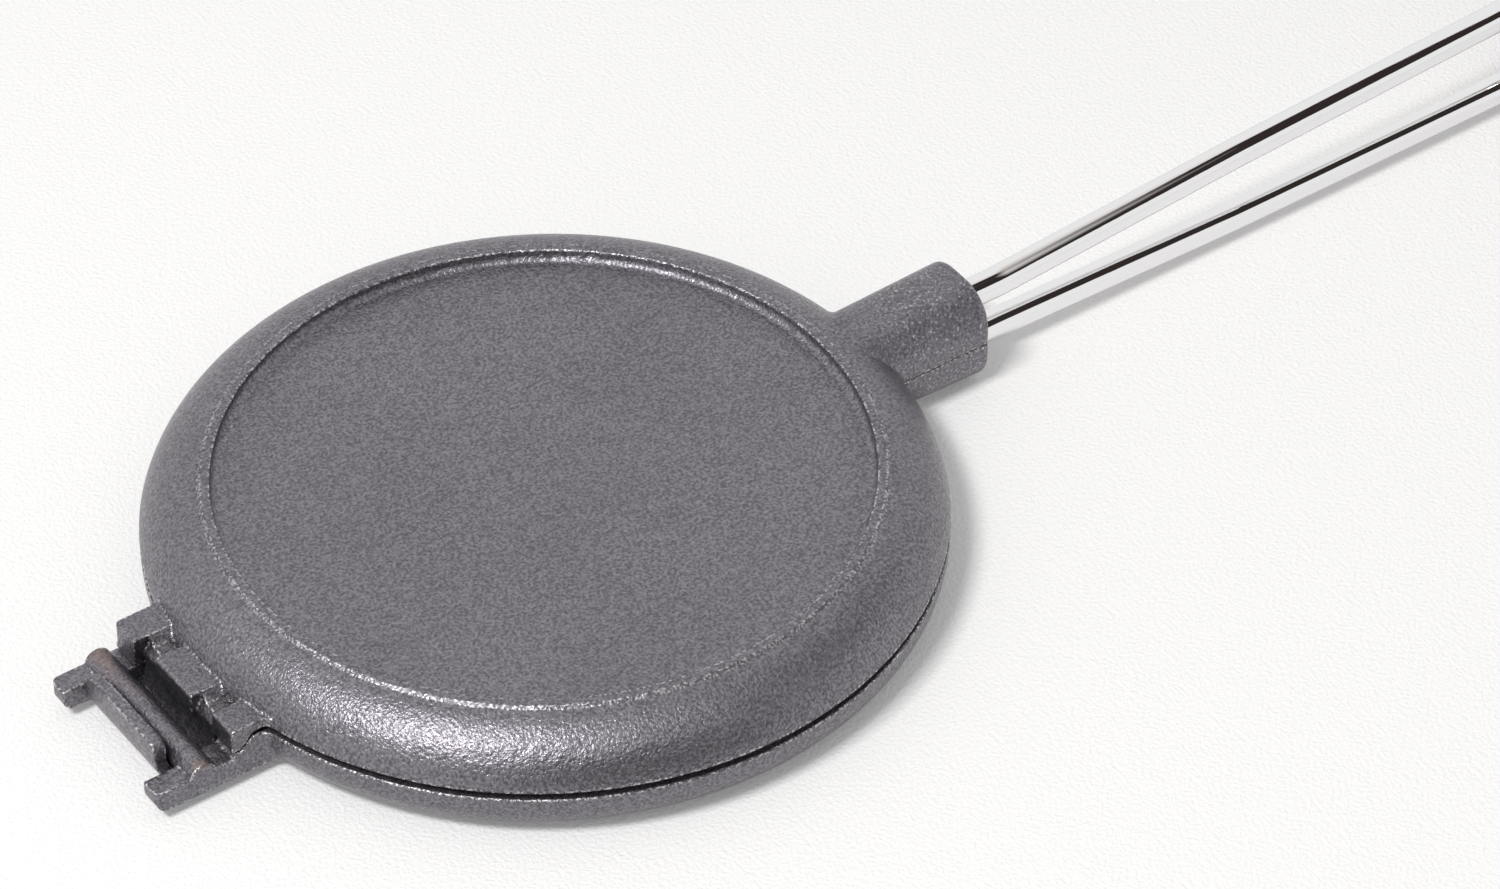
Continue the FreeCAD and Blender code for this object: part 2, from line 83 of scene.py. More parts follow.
def add(tree, kind, settings):
    """One shader node. Settings are its own values, its inputs' values, and what its inputs link to.

    A numbered key is an input's place. MapRange turns the range from 1 to 2 into the one from 3 to 4.
    As 0 goes from none to all, a Mix goes from 2 to 3, and a Mix of colours from 6 to 7.
    """
    node = tree.nodes.new("ShaderNode" + kind)
    for key, value in settings.items():
        if isinstance(key, str) and key not in node.inputs:
            setattr(node, key, value)
        elif isinstance(value, bpy.types.NodeSocket):
            tree.links.new(value, node.inputs[key])
        else:
            node.inputs[key].default_value = value
    return node


def new_material(name):
    """An empty material, its tree, and the piece's own coordinates in millimetres."""
    material = bpy.data.materials.new(name)
    material.use_nodes = True
    tree = material.node_tree
    tree.nodes.clear()
    coordinates = add(tree, "TexCoord", {})
    in_mm = add(tree, "Mapping", {"Vector": coordinates.outputs["Object"], "Scale": (1000, 1000, 1000)})
    return material, tree, in_mm.outputs[0]


def dress(names, material):
    """Gives CAD nodes their material."""
    for name in names:
        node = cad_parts[name]
        node.data.materials.clear()
        node.data.materials.append(material)


# The sand is 0.3 mm in life, and drawn two and a half times as coarse, because finer grain doesn't
# show. It packs into clumps, and the hand-rammed mould and the brushed coating vary more slowly.
sand_mm = 0.75
sand_depth_mm = 0.25
clump_mm = 2.1
clump_depth_mm = 0.22
swell_mm = 9.0
swell_depth_mm = 0.6
cloud_mm = 34.0
casting_material, tree, mm = new_material("coated_sand_cast_aluminium")
sand = add(tree, "TexNoise", {"Vector": mm, "Scale": 1 / sand_mm, "Detail": 2.0, "Roughness": 0.55})
clump = add(tree, "TexNoise", {"Vector": mm, "Scale": 1 / clump_mm, "Detail": 2.0, "Roughness": 0.6})
swell = add(tree, "TexNoise", {"Vector": mm, "Scale": 1 / swell_mm, "Detail": 1.0})
cloud = add(tree, "TexNoise", {"Vector": mm, "Scale": 1 / cloud_mm, "Detail": 2.0, "Roughness": 0.5})

# Colour: a warm grey that turns bluish from clump to clump, and darker where the sand lies low: the sand's
# own speckle, and painted shade in its hollows
warm_grey = linear("#79757b")
bluish_grey = linear("#747278")
tint = add(tree, "MapRange", {0: clump.outputs["Fac"], 1: 0.38, 2: 0.62})
tone = add(tree, "Mix", {"data_type": "RGBA", 0: tint.outputs[0], 6: warm_grey, 7: bluish_grey})
drift = add(tree, "MapRange", {0: cloud.outputs["Fac"], 1: 0.35, 2: 0.65, 3: 0.96, 4: 1.04})
drifted = add(tree, "Mix", {"data_type": "RGBA", "blend_type": "MULTIPLY", 0: 1.0, 6: tone.outputs[2],
                            7: drift.outputs[0]})
# The sand's speckle, darker where it lies low: partly its colour, partly painted shade in the hollows
speckle_and_hollow_shade = add(tree, "MapRange", {0: sand.outputs["Fac"], 1: 0.34, 2: 0.68, 3: 0.60, 4: 1.46})
body = add(tree, "Mix", {"data_type": "RGBA", "blend_type": "MULTIPLY", 0: 1.0, 6: drifted.outputs[2],
                         7: speckle_and_hollow_shade.outputs[0]})

# Painted shade lies on the block's front wall and in the grooves between its lugs, where shade
# falls. Each of its limits gives an axis, the place with no painted shade, and the place where it is at its
# full.
hinge_x = -114.5
bar_z = 8.55
painted_shade_limits = (
    ("X", hinge_x + 2.4, hinge_x + 4.4),
    ("X", hinge_x + 19.0, hinge_x + 11.0),
    ("Z", 3.0, 6.0),
    ("Z", 17.7, 16.9),
    ("Y", -24.4, -23.4),
    ("Y", 19.0, 15.0),
)
painted_shade_colour = linear("#2a2625")
place = add(tree, "SeparateXYZ", {"Vector": mm})
painted_shade = 1.0
for axis, unshaded, full in painted_shade_limits:
    limit = add(tree, "MapRange", {0: place.outputs[axis], "interpolation_type": "SMOOTHSTEP",
                                   1: unshaded, 2: full})
    painted_shade = add(tree, "Math", {"operation": "MULTIPLY", 0: painted_shade, 1: limit.outputs[0]}).outputs[0]
# The painted shade comes and goes in patches with the clumps
painted_shade_patch = add(tree, "MapRange", {0: clump.outputs["Fac"], 1: 0.35, 2: 0.60, 3: 0.05, 4: 0.45})
painted_shade = add(tree, "Math", {"operation": "MULTIPLY", 0: painted_shade, 1: painted_shade_patch.outputs[0]}).outputs[0]
# Mixes the painted shade into the casting's colour
with_painted_shade = add(tree, "Mix", {"data_type": "RGBA", 0: painted_shade, 6: body.outputs[2], 7: painted_shade_colour})

# The hook rubs the coating off the top of the bar, which rusts brown in patches
bar_near = 3.8
bar_clear = 4.6
bar_top_start = 2.3
bar_top_full = 3.6
rust_colour = linear("#8a7466")
from_bar = add(tree, "VectorMath", {"operation": "SUBTRACT", 0: mm, 1: (hinge_x, 0, bar_z)})
round_bar = add(tree, "VectorMath", {"operation": "MULTIPLY", 0: from_bar.outputs[0], 1: (1, 0, 1)})
bar_reach = add(tree, "VectorMath", {"operation": "LENGTH", 0: round_bar.outputs[0]})
on_bar = add(tree, "MapRange", {0: bar_reach.outputs["Value"], 1: bar_clear, 2: bar_near})
bar_top = add(tree, "MapRange", {0: place.outputs["Z"], 1: bar_z + bar_top_start, 2: bar_z + bar_top_full})
rubbed = add(tree, "Math", {"operation": "MULTIPLY", 0: on_bar.outputs[0], 1: bar_top.outputs[0]})
rust_patch = add(tree, "MapRange", {0: swell.outputs["Fac"], 1: 0.42, 2: 0.60, 3: 0.0, 4: 0.5})
rusty = add(tree, "Math", {"operation": "MULTIPLY", 0: rubbed.outputs[0], 1: rust_patch.outputs[0]})
worn = add(tree, "Mix", {"data_type": "RGBA", 0: rusty.outputs[0], 6: with_painted_shade.outputs[2], 7: rust_colour})

# Edges and corners get bright specks, partly bare metal worn through and partly painted glints, and the
# peaks of the sand on the boss are rubbed bright. An edge is found where rounding it turns the normal, from
# 7 degrees on and in full at 22 degrees.
edge_round_mm = 1.0
edge_starts = 0.992
edge_full = 0.93
boss_starts = 96.0
boss_full = 106.0
bare_metal_and_glint = linear("#e4e0e1")
edges = add(tree, "Bevel", {"samples": 6, "Radius": edge_round_mm * milli})
facing = add(tree, "NewGeometry", {})
bend_over = add(tree, "VectorMath", {"operation": "DOT_PRODUCT", 0: edges.outputs[0],
                                     1: facing.outputs["Normal"]})
near_edge = add(tree, "MapRange", {0: bend_over.outputs["Value"], 1: edge_starts, 2: edge_full})
speck = add(tree, "MapRange", {0: sand.outputs["Fac"], 1: 0.51, 2: 0.59, 3: 0.0, 4: 1.0})
# Bright specks on edges: partly worn bare, partly painted glints
edge_wear_and_glint = add(tree, "Math", {"operation": "MULTIPLY", 0: near_edge.outputs[0], 1: speck.outputs[0]})
on_boss = add(tree, "MapRange", {0: place.outputs["X"], "interpolation_type": "SMOOTHSTEP",
                                 1: boss_starts, 2: boss_full})
peak = add(tree, "MapRange", {0: sand.outputs["Fac"], 1: 0.64, 2: 0.70, 3: 0.0, 4: 0.6})
boss_rub = add(tree, "Math", {"operation": "MULTIPLY", 0: on_boss.outputs[0], 1: peak.outputs[0]})
wear_and_glint = add(tree, "Math", {"operation": "MAXIMUM", 0: edge_wear_and_glint.outputs[0], 1: boss_rub.outputs[0]})
# Mixes in the bare metal and the painted glints
coat = add(tree, "Mix", {"data_type": "RGBA", 0: wear_and_glint.outputs[0], 6: worn.outputs[2], 7: bare_metal_and_glint})

# Relief: sharp sand on soft clumps, the slow waves of a hand-rammed mould, and edges that the
# mould and the coating leave round
coat_metal_share = 0.85
gloss = add(tree, "MapRange", {0: sand.outputs["Fac"], 1: 0.3, 2: 0.7, 3: 0.39, 4: 0.28})
waves = add(tree, "Bump", {"Height": swell.outputs["Fac"], "Strength": 0.3,
                           "Distance": swell_depth_mm * milli, "Normal": edges.outputs[0]})
clumps = add(tree, "Bump", {"Height": clump.outputs["Fac"], "Strength": 1.0,
                            "Distance": clump_depth_mm * milli, "Normal": waves.outputs[0]})
grain = add(tree, "Bump", {"Height": sand.outputs["Fac"], "Strength": 1.0,
                           "Distance": sand_depth_mm * milli, "Normal": clumps.outputs[0]})
shader = add(tree, "BsdfPrincipled", {"Base Color": coat.outputs[2], "Roughness": gloss.outputs[0],
                                      "Metallic": coat_metal_share, "Normal": grain.outputs[0]})
add(tree, "OutputMaterial", {"Surface": shader.outputs[0]})
dress(("lower_pan", "upper_pan"), casting_material)


# The handle rods: 8 mm steel bar, cut to length, bent in two places, turned down at the rear to a
# threaded stud and chrome plated. Each is pushed into its half of the boss. The plate mirrors the
# room sharply, blurred a little along the bar by the lines that drawing left in the steel.
draw_line_mm = 0.5
draw_line_stretch = 0.015
draw_line_depth_mm = 0.1
haze_mm = 7.0
chrome_material, tree, mm = new_material("chrome_plated_steel_bar")
haze = add(tree, "TexNoise", {"Vector": mm, "Scale": 1 / haze_mm, "Detail": 3.0})
hazy = add(tree, "MapRange", {0: haze.outputs["Fac"], 1: 0.3, 2: 0.7, 3: 0.025, 4: 0.07})
along = add(tree, "Mapping", {"Vector": mm, "Scale": (draw_line_stretch, 1, 1)})
draw_lines = add(tree, "TexNoise", {"Vector": along.outputs[0], "Scale": 1 / draw_line_mm, "Detail": 2.0})
lines = add(tree, "Bump", {"Height": draw_lines.outputs["Fac"], "Strength": 0.04,
                           "Distance": draw_line_depth_mm * milli})
shader = add(tree, "BsdfPrincipled", {"Base Color": linear("#ecebec"), "Metallic": 1.0,
                                      "Roughness": hazy.outputs[0], "Normal": lines.outputs[0]})
add(tree, "OutputMaterial", {"Surface": shader.outputs[0]})

rod_radius = 4.0
rod_y = -1.0
rod_start = 106.0
first_corner = 137.4
first_radius = 60.0
second_corner = 214.1
second_radius = 120.0
rod_tail = 190.0
stud_radius = 3.0
stud_length = 5.6
stud_chamfer = 0.6
rods = {
    "lower": {"height": 7.9, "first": math.radians(-1.4), "second": math.radians(0.2)},
    "upper": {"height": 21.9, "first": math.radians(4.05), "second": math.radians(2.95)},
}


def deselect():
    bpy.ops.object.select_all(action="DESELECT")


def finish_mesh(piece, name, material, smooth_angle=30):
    """Closes what is open, turns the faces outwards, shades the piece and gives it its material."""
    bpy.ops.mesh.select_all(action="SELECT")
    bpy.ops.mesh.remove_doubles(threshold=0.002 * milli)
    bpy.ops.mesh.fill_holes(sides=0)
    bpy.ops.mesh.select_all(action="SELECT")
    bpy.ops.mesh.normals_make_consistent(inside=False)
    bpy.ops.object.mode_set(mode="OBJECT")
    bpy.ops.object.shade_smooth_by_angle(angle=math.radians(smooth_angle))
    piece.name = name
    piece.data.name = name
    piece.data.materials.clear()
    piece.data.materials.append(material)


def extrude(step):
    bpy.ops.mesh.extrude_region_move(TRANSFORM_OT_translate={"value": step})


def heading(slope):
    """The direction along the handles of a rod that rises by a slope."""
    return Vector((math.cos(slope), 0, math.sin(slope)))


def second_point(side):
    """The second corner of a rod, and the direction that it takes from there."""
    rod = rods[side]
    rise = (second_corner - first_corner) * math.tan(rod["first"])
    return Vector((second_corner, rod_y, rod["height"] + rise)) * milli, heading(rod["second"])


for side, rod in rods.items():
    deselect()
    spot = Vector((rod_start, rod_y, rod["height"])) * milli
    bpy.ops.mesh.primitive_circle_add(vertices=72, radius=rod_radius * milli, fill_type="NOTHING",
                                      location=spot, rotation=(0, math.pi / 2, 0))
    bar = bpy.context.object
    bpy.ops.object.transform_apply(location=True, rotation=True, scale=True)
    bpy.ops.object.mode_set(mode="EDIT")
    bpy.ops.mesh.select_all(action="SELECT")
    first = Vector((first_corner, rod_y, rod["height"])) * milli
    second, ahead = second_point(side)
    slope = 0.0
    bends = ((first, rod["first"], first_radius), (second, rod["second"], second_radius))
    for corner, next_slope, radius in bends:
        turn = next_slope - slope
        reach = radius * milli * math.tan(abs(turn) / 2)
        inward = Vector((-math.sin(slope), 0, math.cos(slope))) * math.copysign(1, turn)
        bend_start = corner - heading(slope) * reach
        extrude(bend_start - spot)
        bpy.ops.mesh.spin(steps=6, angle=turn, center=bend_start + inward * (radius * milli), axis=(0, 1, 0))
        spot = corner + heading(next_slope) * reach
        slope = next_slope
    end = second + ahead * (rod_tail * milli)
    extrude(end - spot)
    extrude((0, 0, 0))
    share = stud_radius / rod_radius
    bpy.ops.transform.resize(value=(share, share, share), center_override=end)
    extrude(ahead * (stud_length * milli))
    extrude(ahead * (stud_chamfer * milli))
    share = (stud_radius - stud_chamfer) / stud_radius
    tip = end + ahead * ((stud_length + stud_chamfer) * milli)
    bpy.ops.transform.resize(value=(share, share, share), center_override=tip)
    finish_mesh(bar, side + "_bright_bar", chrome_material, smooth_angle=40)
    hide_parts(side + "_handle_rod")
    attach(bar, side + "_half")


# The pins that hold the rods: slotted spring pins of oiled steel, driven through boss and rod from
# the parting face. Only their ends show, when the pan is open: grey-brown steel, dulled by oil.
oil_mm = 0.9
pin_material, tree, mm = new_material("oiled_spring_steel")
oil = add(tree, "TexNoise", {"Vector": mm, "Scale": 1 / oil_mm, "Detail": 2.0})
film = add(tree, "MapRange", {0: oil.outputs["Fac"], 1: 0.35, 2: 0.65, 3: 0.28, 4: 0.45})
temper = add(tree, "Mix", {"data_type": "RGBA", 0: oil.outputs["Fac"],
                           6: linear("#5a5553"), 7: linear("#7a7674")})
shader = add(tree, "BsdfPrincipled", {"Base Color": temper.outputs[2], "Metallic": 1.0,
                                      "Roughness": film.outputs[0]})
add(tree, "OutputMaterial", {"Surface": shader.outputs[0]})
dress(("lower_socket_pin", "upper_socket_pin"), pin_material)


# The grips: black phenolic filled with wood flour, moulded in two halves of a steel mould, so a
# fine ridge runs along both sides. Each is pushed on its rod up to the ferrule. The filler shows
# as a faint mottle under a satin skin.
flour_mm = 0.7
peel_mm = 1.6
peel_depth_mm = 0.1
grip_material, tree, mm = new_material("moulded_phenolic")
flour = add(tree, "TexNoise", {"Vector": mm, "Scale": 1 / flour_mm, "Detail": 3.0, "Roughness": 0.6})
peel = add(tree, "TexNoise", {"Vector": mm, "Scale": 1 / peel_mm, "Detail": 1.0})
filler = add(tree, "MapRange", {0: flour.outputs["Fac"], 1: 0.35, 2: 0.65})
resin = add(tree, "Mix", {"data_type": "RGBA", 0: filler.outputs[0],
                          6: linear("#1b1a1a"), 7: linear("#2a2827")})
satin = add(tree, "MapRange", {0: flour.outputs["Fac"], 1: 0.3, 2: 0.7, 3: 0.30, 4: 0.42})
skin = add(tree, "Bump", {"Height": peel.outputs["Fac"], "Strength": 0.3, "Distance": peel_depth_mm * milli})
shader = add(tree, "BsdfPrincipled", {"Base Color": resin.outputs[2], "Roughness": satin.outputs[0],
                                      "Normal": skin.outputs[0]})
add(tree, "OutputMaterial", {"Surface": shader.outputs[0]})

# The grip's outline, each ring given by its place, half width and half height: a rounded end, a
# waist for the fingers, a belly for the palm, a rounded end, and back to the front through the bore
grip_offset = 100.0
ferrule_length = 8.0
grip_length = 82.0
grip_bore = 4.05
ridge_share = 1.018
grip_rings = [
    (0.0, grip_bore, grip_bore), (0.0, 8.9, 4.8), (0.4, 9.7, 5.2), (1.1, 10.5, 5.6), (2.0, 11.04, 5.89),
    (6.0, 11.05, 5.89), (14.0, 11.03, 5.88), (24.6, 11.04, 5.89), (34.0, 11.2, 5.97), (42.0, 11.5, 6.13),
    (49.0, 11.8, 6.3), (55.8, 12.0, 6.4), (62.0, 11.97, 6.38), (68.0, 11.8, 6.29), (74.0, 11.48, 6.12),
    (80.0, 11.04, 5.89), (80.9, 10.5, 5.6), (81.6, 9.7, 5.2), (grip_length, 8.9, 4.8),
    (grip_length, grip_bore, grip_bore), (0.0, grip_bore, grip_bore),
]


def draw_rings(rings, vertices):
    """A tube drawn along X from ring to ring, each given by its place, half width and half height."""
    deselect()
    bpy.ops.mesh.primitive_circle_add(vertices=vertices, radius=milli, fill_type="NOTHING",
                                      rotation=(0, math.pi / 2, 0))
    bpy.ops.object.transform_apply(location=True, rotation=True, scale=True)
    bpy.ops.object.mode_set(mode="EDIT")
    bpy.ops.mesh.select_all(action="SELECT")
    place, wide, high = 0.0, 1.0, 1.0
    for index, (next_place, next_wide, next_high) in enumerate(rings):
        step = ((next_place - place) * milli, 0, 0)
        if index:
            extrude(step)
        else:
            bpy.ops.transform.translate(value=step)
        bpy.ops.transform.resize(value=(1, next_wide / wide, next_high / high),
                                 center_override=(next_place * milli, 0, 0))
        place, wide, high = next_place, next_wide, next_high
    return bpy.context.object


def turned(profile, vertices=64):
    """A round piece drawn along X, each ring of its profile given by its place and radius."""
    return draw_rings([(place, radius, radius) for place, radius in profile], vertices)


def onto_rod(piece, side, distance):
    """Moves a piece drawn along X from the origin to its distance behind a rod's second corner."""
    second, ahead = second_point(side)
    piece.rotation_euler = (0, -rods[side]["second"], 0)
    piece.location = second + ahead * (distance * milli)
    deselect()
    piece.select_set(True)
    bpy.context.view_layer.objects.active = piece
    bpy.ops.object.transform_apply(location=True, rotation=True, scale=True)


def fit_pair(first, name, distance, node):
    """Puts a piece on the lower rod and a copy with its own mesh on the upper one."""
    twin = first.copy()
    twin.data = first.data.copy()
    bpy.context.scene.collection.objects.link(twin)
    for side, piece in (("lower", first), ("upper", twin)):
        piece.name = side + "_" + name
        piece.data.name = piece.name
        onto_rod(piece, side, distance)
        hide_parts(side + "_" + node)
        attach(piece, side + "_half")


grip = draw_rings(grip_rings, 64)
bpy.ops.mesh.select_all(action="DESELECT")
bpy.ops.object.mode_set(mode="OBJECT")
for vertex in grip.data.vertices:
    vertex.select = abs(vertex.co.z) < 0.01 * milli and abs(vertex.co.y) > (grip_bore + 1) * milli
bpy.ops.object.mode_set(mode="EDIT")
bpy.ops.transform.resize(value=(1, ridge_share, 1), center_override=(0, 0, 0))
finish_mesh(grip, "grip", grip_material, smooth_angle=32)
fit_pair(grip, "phenolic_grip", grip_offset + ferrule_length, "grip")


# The ferrules: steel collars turned on a lathe, with one groove and a rounded lip, then nickel
# plated, so they shine warmer than chrome through fine turning marks. The front of each grip butts
# against one. The lathe's feed is 0.3 mm in life, and drawn six times as wide so that it shows.
feed_mm = 1.885
feed_depth_mm = 0.03
wave_bands = 20 / math.tau
stain_mm = 3.5
ferrule_material, tree, mm = new_material("nickel_plated_turned_steel")
feed_marks = add(tree, "TexWave", {"Vector": mm, "Scale": 1 / feed_mm / wave_bands, "bands_direction": "X",
                                   "Distortion": 0.4})
stain = add(tree, "TexNoise", {"Vector": mm, "Scale": 1 / stain_mm, "Detail": 3.0})
marks = add(tree, "Bump", {"Height": feed_marks.outputs["Fac"], "Strength": 0.15,
                           "Distance": feed_depth_mm * milli})
dulled = add(tree, "MapRange", {0: stain.outputs["Fac"], 1: 0.35, 2: 0.65, 3: 0.14, 4: 0.28})
shader = add(tree, "BsdfPrincipled", {"Base Color": linear("#d2cdc4"), "Metallic": 1.0,
                                      "Roughness": dulled.outputs[0], "Normal": marks.outputs[0]})
add(tree, "OutputMaterial", {"Surface": shader.outputs[0]})

ferrule_bore = 4.02
ferrule_profile = [
    (0.0, ferrule_bore), (0.0, 4.9), (0.25, 5.15), (0.6, 5.22), (2.2, 5.3), (2.4, 5.05), (2.9, 5.05),
    (3.1, 5.34), (6.5, 5.48), (6.8, 5.6), (6.95, 5.9), (7.2, 6.07), (7.5, 6.1), (7.8, 6.05),
    (ferrule_length, 5.85), (ferrule_length, ferrule_bore), (0.0, ferrule_bore),
]
ferrule = turned(ferrule_profile)
finish_mesh(ferrule, "ferrule", ferrule_material)
fit_pair(ferrule, "turned_ferrule", grip_offset, "ferrule")


# The washers behind the grips: stamped from sheet and zinc plated, with the rounded edge that the
# die leaves on one side. Zinc crystals give them a dull, patchy grey.
spangle_mm = 1.2
washer_material, tree, mm = new_material("zinc_plated_steel")
spangle = add(tree, "TexVoronoi", {"Vector": mm, "Scale": 1 / spangle_mm})
spangle_tone = add(tree, "MapRange", {0: spangle.outputs["Color"], 3: 0.88, 4: 1.0})
zinc = add(tree, "Mix", {"data_type": "RGBA", "blend_type": "MULTIPLY", 0: 1.0, 6: linear("#b9bcbf"),
                         7: spangle_tone.outputs[0]})
dull = add(tree, "MapRange", {0: spangle.outputs["Distance"], 3: 0.28, 4: 0.42})
shader = add(tree, "BsdfPrincipled", {"Base Color": zinc.outputs[2], "Metallic": 1.0,
                                      "Roughness": dull.outputs[0]})
add(tree, "OutputMaterial", {"Surface": shader.outputs[0]})

stud_hole = 3.02
washer_thickness = 1.2
washer_profile = [
    (0.0, stud_hole), (0.0, 5.5), (0.1, 5.6), (0.9, 5.6), (1.1, 5.52), (washer_thickness, 5.3),
    (washer_thickness, stud_hole), (0.0, stud_hole),
]
washer_place = grip_offset + ferrule_length + grip_length
washer = turned(washer_profile)
finish_mesh(washer, "washer", washer_material)
fit_pair(washer, "stamped_washer", washer_place, "grip_washer")


# The cap nuts: cold-formed hexagons with a pressed dome, chamfered on the corners and nickel
# plated bright, with a mirror finish that a few smears dull. Each screws on the stud and draws
# the grip against its ferrule.
smear_mm = 2.5
nut_material, tree, mm = new_material("bright_nickel_plate")
smear = add(tree, "TexNoise", {"Vector": mm, "Scale": 1 / smear_mm, "Detail": 3.0})
bright = add(tree, "MapRange", {0: smear.outputs["Fac"], 1: 0.35, 2: 0.65, 3: 0.08, 4: 0.2})
shader = add(tree, "BsdfPrincipled", {"Base Color": linear("#d9d4ca"), "Metallic": 1.0,
                                      "Roughness": bright.outputs[0]})
add(tree, "OutputMaterial", {"Surface": shader.outputs[0]})

nut_half_flats = 5.0
nut_corner = nut_half_flats / math.cos(math.radians(30))
nut_height = 5.0
chamfer = 0.6
chamfer_outer = 5.85
chamfer_inner = 4.75
chamfer_profile = [
    (0.0, chamfer_inner), (chamfer, chamfer_outer),
    (nut_height - chamfer, chamfer_outer), (nut_height, chamfer_inner),
]

# The dome is a cap of a sphere on the nut's rear face, and starts inside the nut to join it
dome_foot = 4.4
dome_rise = 3.6
dome_sunk = 0.8
dome_tip = 0.05
dome_radius = (dome_foot ** 2 + dome_rise ** 2) / (2 * dome_rise)
dome_centre = nut_height + dome_rise - dome_radius
dome_profile = [(nut_height - dome_sunk, dome_foot), (nut_height, dome_foot)]
for turn in range(55, -1, -5):
    height = dome_centre + dome_radius * math.cos(math.radians(turn))
    if height > nut_height + dome_tip:
        dome_profile.append((height, max(dome_radius * math.sin(math.radians(turn)), dome_tip)))

bore_profile = [(-1.0, stud_hole), (5.5, stud_hole)]
hexagon = turned([(0.0, nut_corner), (nut_height, nut_corner)], 6)
finish_mesh(hexagon, "hexagon", nut_material)
for name, profile, vertices, operation in (("chamfer", chamfer_profile, 96, "INTERSECT"),
                                           ("dome", dome_profile, 96, "UNION"),
                                           ("bore", bore_profile, 48, "DIFFERENCE")):
    tool = turned(profile, vertices)
    finish_mesh(tool, name, nut_material)
    deselect()
    hexagon.select_set(True)
    bpy.context.view_layer.objects.active = hexagon
    cut = hexagon.modifiers.new("cut", "BOOLEAN")
    cut.operation = operation
    cut.solver = "EXACT"
    cut.object = tool
    bpy.ops.object.modifier_apply(modifier=cut.name)
    bpy.data.objects.remove(tool)
bpy.ops.object.shade_smooth_by_angle(angle=math.radians(30))
fit_pair(hexagon, "domed_cap_nut", washer_place + washer_thickness, "cap_nut")


# The table: a seamless sheet of white card, matt, with a faint grain of fibres that shows only in
# the pan's shadow. Where it is seen or mirrored it glows a little, and so stays white to its edge.
table_size = 8.0
fibre_mm = 1.1
fibre_depth_mm = 0.7
glow_share = 0.14


def seen_or_mirrored(tree):
    """1 for the rays that see a background: those of the camera, of gloss and of glass."""
    path = add(tree, "LightPath", {})
    seen = path.outputs["Is Camera Ray"]
    for ray in ("Is Glossy Ray", "Is Transmission Ray"):
        seen = add(tree, "Math", {"operation": "MAXIMUM", 0: seen, 1: path.outputs[ray]}).outputs[0]
    return seen


deselect()
bpy.ops.mesh.primitive_plane_add(size=table_size, location=(0, 0, 0))
table = bpy.context.object
table.name = "table"
table_material, tree, mm = new_material("white_sheet")
fibre = add(tree, "TexNoise", {"Vector": mm, "Scale": 1 / fibre_mm, "Detail": 3.0})
relief = add(tree, "Bump", {"Height": fibre.outputs["Fac"], "Strength": 0.7,
                            "Distance": fibre_depth_mm * milli})
matt = add(tree, "BsdfDiffuse", {"Color": linear("#f8f7f6"), "Normal": relief.outputs[0]})
glow = add(tree, "Emission", {"Color": linear("#fdfdfd"), "Strength": 1.0})
share = add(tree, "Math", {"operation": "MULTIPLY", 0: seen_or_mirrored(tree), 1: glow_share})
blend = add(tree, "MixShader", {0: share.outputs[0], 1: matt.outputs[0], 2: glow.outputs[0]})
add(tree, "OutputMaterial", {"Surface": blend.outputs[0]})
table.data.materials.append(table_material)


# Two dark cards, high up beside the handles, seen only in reflections: painted reflections that
# glow and light nothing. The front one draws the dark line along both rods. The rear one carries it
# on along the upper rod, and pales to its left and its rear, which gives the soft shade next to the boss.
card_height = 1.0
card_dark = "#332d2b"
card_pale = "#f0ece8"
rear_card_middle = Vector((0.59, 0.185, card_height))
rear_corner_shift = -0.20


def lay_card(name, middle, length, width):
    """A level card, its length along X and its width along Y."""
    deselect()
    bpy.ops.mesh.primitive_plane_add(size=1.0, location=middle)
    card = bpy.context.object
    card.name = name
    card.scale = (length, width, 1.0)
    bpy.ops.object.transform_apply(location=True, rotation=True, scale=True)
    return card


def show_in_gloss(card, material, tree, share, dark, pale):
    """Makes a card that glossy rays alone see, dark where the share is 0 and pale where it is 1."""
    card.visible_camera = False
    card.visible_diffuse = False
    card.visible_shadow = False
    card.visible_transmission = False
    # The card glows with its tone and lights nothing: a painted reflection
    reflected_tone = add(tree, "Mix", {"data_type": "RGBA", 0: share, 6: linear(dark), 7: linear(pale)})
    shown = add(tree, "Emission", {"Color": reflected_tone.outputs[2], "Strength": 1.0})
    add(tree, "OutputMaterial", {"Surface": shown.outputs[0]})
    card.data.materials.append(material)


front_card = lay_card("front_card", (1.025, -0.76, card_height), 1.15, 1.08)
front_material, tree, mm = new_material("front_card_painted_reflection")
spread = add(tree, "SeparateXYZ", {"Vector": mm})
across = add(tree, "MapRange", {0: spread.outputs["X"], 1: 500.0, 2: 650.0, 3: 1.0, 4: 0.0})
show_in_gloss(front_card, front_material, tree, across.outputs[0], card_dark, card_pale)

rear_card = lay_card("rear_card", rear_card_middle, 0.42, 0.83)
bpy.ops.object.mode_set(mode="EDIT")
bpy.ops.mesh.select_all(action="DESELECT")
bpy.ops.object.mode_set(mode="OBJECT")
for vertex in rear_card.data.vertices:
    vertex.select = vertex.co.x > rear_card_middle.x and vertex.co.y > rear_card_middle.y
bpy.ops.object.mode_set(mode="EDIT")
bpy.ops.transform.translate(value=(rear_corner_shift, 0, 0))
bpy.ops.object.mode_set(mode="OBJECT")
rear_material, tree, mm = new_material("rear_card_painted_reflection")
spread = add(tree, "SeparateXYZ", {"Vector": mm})
across = add(tree, "MapRange", {0: spread.outputs["X"], 1: 430.0, 2: 600.0, 3: 1.0, 4: 0.0})
behind = add(tree, "MapRange", {0: spread.outputs["Y"], 1: 100.0, 2: 130.0})
far = add(tree, "MapRange", {0: spread.outputs["Y"], 1: 130.0, 2: 600.0, 3: 0.35, 4: 1.0})
beyond = add(tree, "Mix", {0: across.outputs[0], 2: behind.outputs[0], 3: far.outputs[0]})
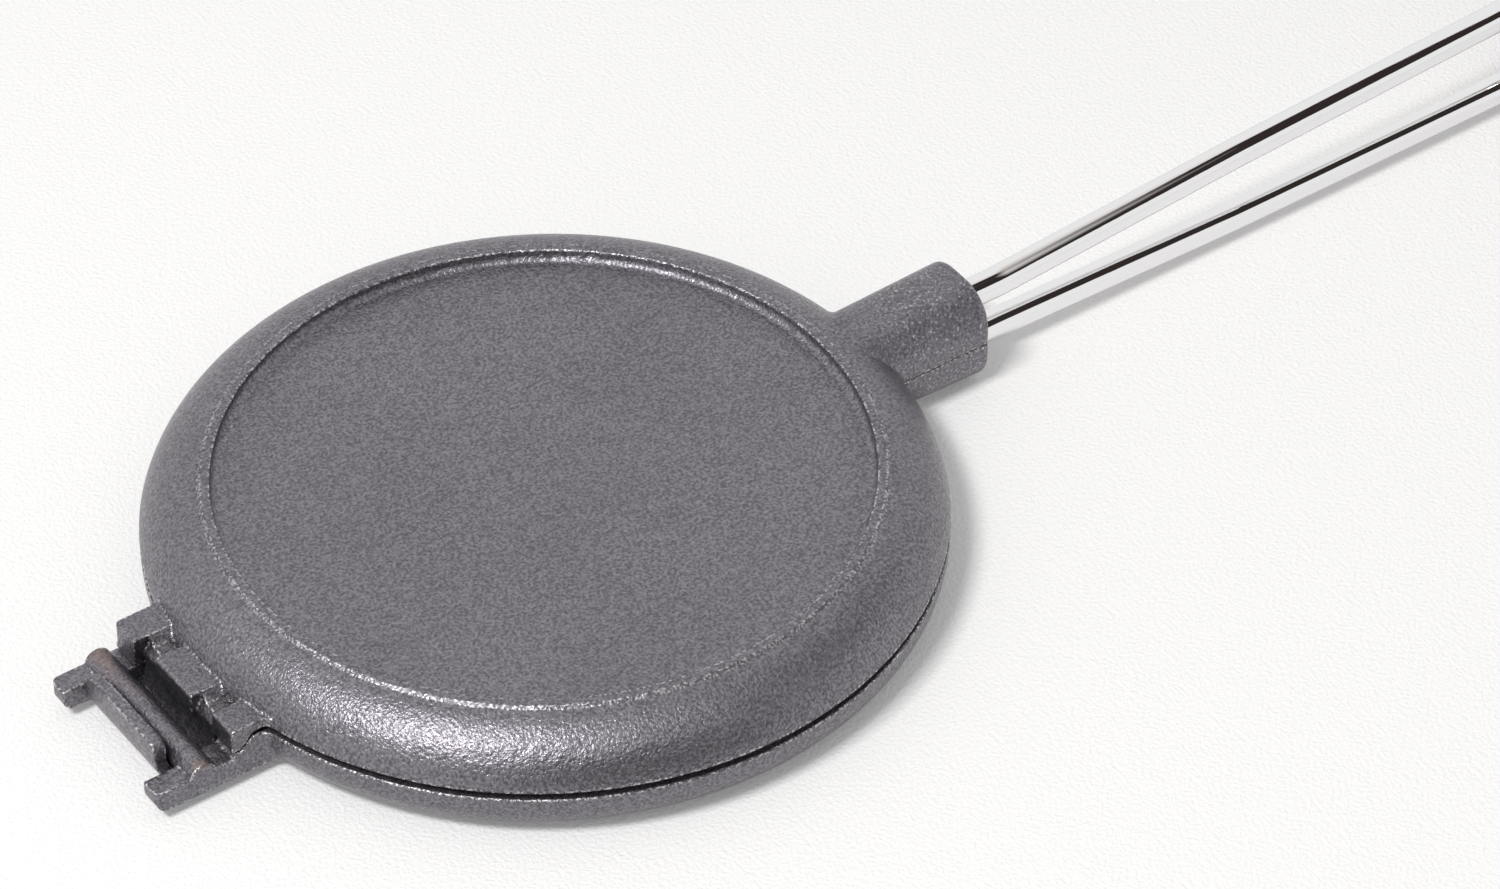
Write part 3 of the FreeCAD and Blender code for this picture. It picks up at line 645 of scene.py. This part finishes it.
paler = add(tree, "Math", {"operation": "MAXIMUM", 0: beyond.outputs[0], 1: across.outputs[0]})
show_in_gloss(rear_card, rear_material, tree, paler.outputs[0], card_dark, card_pale)


# A dark sheet in front of the pan and to its right, seen only in reflections: a painted reflection
# that leaves the round side dark just above the slit, beside the highlight. It pales from 420 mm upwards.
side_away = Vector((-0.17, -0.984, 0)) * 0.9
side_turn = math.radians(-9.8)
side_width = 1.2
side_height = 0.6
deselect()
bpy.ops.mesh.primitive_plane_add(size=1.0, rotation=(math.pi / 2, 0, side_turn))
dark_side = bpy.context.object
dark_side.name = "dark_side"
dark_side.location = side_away + Vector((0, 0, side_height / 2))
dark_side.scale = (side_width, side_height, 1.0)
bpy.ops.object.transform_apply(location=True, rotation=True, scale=True)
dark_side_material, tree, mm = new_material("dark_side_painted_reflection")
spread = add(tree, "SeparateXYZ", {"Vector": mm})
upper = add(tree, "MapRange", {0: spread.outputs["Z"], 1: 420.0, 2: 600.0})
show_in_gloss(dark_side, dark_side_material, tree, upper.outputs[0], "#1c1a1a", "#cfcccb")


# Light: one large soft lamp over the hinge end, which lays the highlight on the round side and the
# shadow under the handles, and an even white room. The room lights the pan at half the level at
# which it is seen.
key_direction = Vector((-0.51, -0.16, 0.845)).normalized()
key_distance = 2.4
key = bpy.data.lights.new("key", "AREA")
key.shape = "RECTANGLE"
key.size = 0.75
key.size_y = 0.40
key.energy = 41.0
key_lamp = bpy.data.objects.new("key", key)
key_lamp.location = key_direction * key_distance
key_lamp.rotation_mode = "QUATERNION"
key_lamp.rotation_quaternion = key_direction.to_track_quat("Z", "Y")
bpy.context.scene.collection.objects.link(key_lamp)

room_light = 0.49
room_seen = 0.95
world = bpy.data.worlds.new("white_room")
bpy.context.scene.world = world
world.use_nodes = True
tree = world.node_tree
tree.nodes.clear()
level = add(tree, "MapRange", {0: seen_or_mirrored(tree), 3: room_light, 4: room_seen})
room = add(tree, "Background", {"Color": linear("#ffffff"), "Strength": level.outputs[0]})
add(tree, "OutputWorld", {"Surface": room.outputs[0]})
